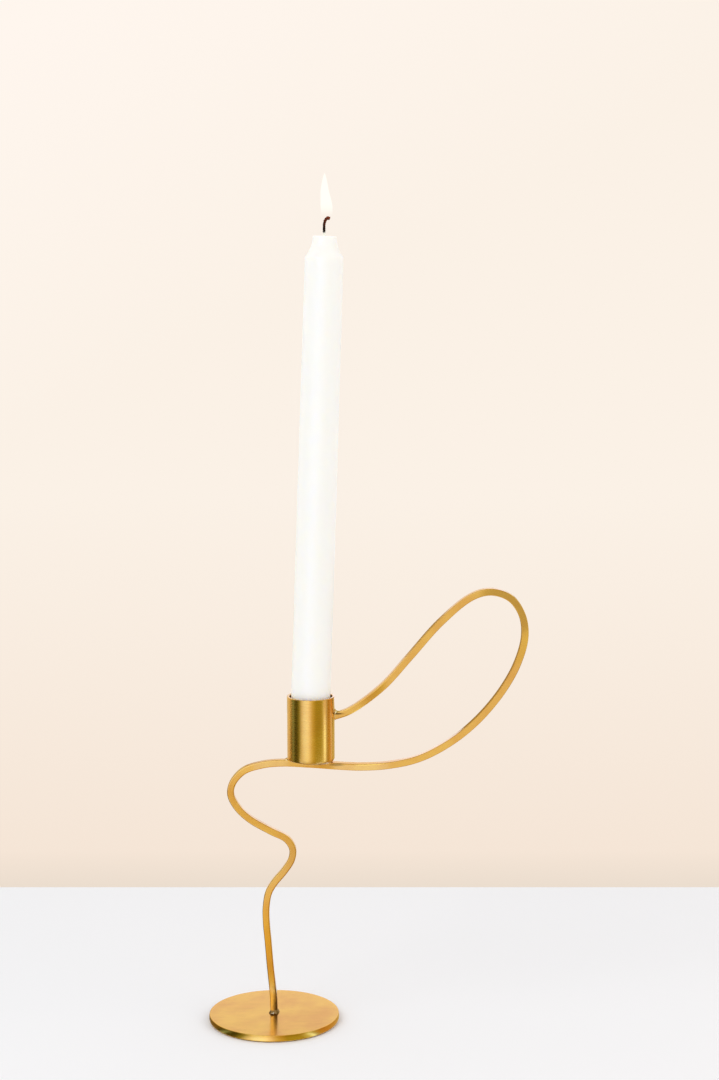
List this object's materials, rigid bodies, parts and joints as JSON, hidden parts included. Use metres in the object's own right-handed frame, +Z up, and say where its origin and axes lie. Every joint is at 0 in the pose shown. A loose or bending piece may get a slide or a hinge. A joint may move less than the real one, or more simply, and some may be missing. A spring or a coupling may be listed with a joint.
{
  "type": "taper candle holder",
  "caption": "Taper candle holder bent from one square brass bar on a round base plate, with a cup carried on an S bend, an open loop beside it, and a taper candle in the cup.",
  "frame": {"origin": "centre of the underside of the pad, on the base plate's axis", "axes": "+Z up along the base plate's axis, +X towards the open loop, Y across the plane that the bar is bent in"},
  "size_m": [0.1794, 0.074, 0.4525],
  "materials": {
    "plate_brass": "satin lacquered brass, finely lined, with a polished edge",
    "bar_brass": "drawn square brass bar, hand polished along its length",
    "cup_brass": "turned and brushed brass tube, with fine lines round it",
    "braze_metal": "filed brazing with small beads, duller and browner than the brass",
    "pad_felt": "thin dark felt, glued under the plate",
    "candle_wax": "ivory white dipped wax, smooth and slightly translucent",
    "charred_wick": "braided cotton, charred black, reddish brown at the tip"
  },
  "bodies": {
    "holder": {"base_pad": "pad_felt", "base_plate": "plate_brass", "stem_bar": "bar_brass", "foot_braze": "braze_metal", "cup_tube": "cup_brass", "cup_floor": "cup_brass", "cup_seat_braze": "braze_metal", "loop_end_braze": "braze_metal"},
    "taper": {"candle_wax": "candle_wax", "candle_wick": "charred_wick"}
  },
  "joints": [
    {"name": "candle_lift", "type": "slide", "parent": "holder", "child": "taper", "axis": [0.0329, 0, 0.9995], "range_m": [0, 0.045]}
  ]
}
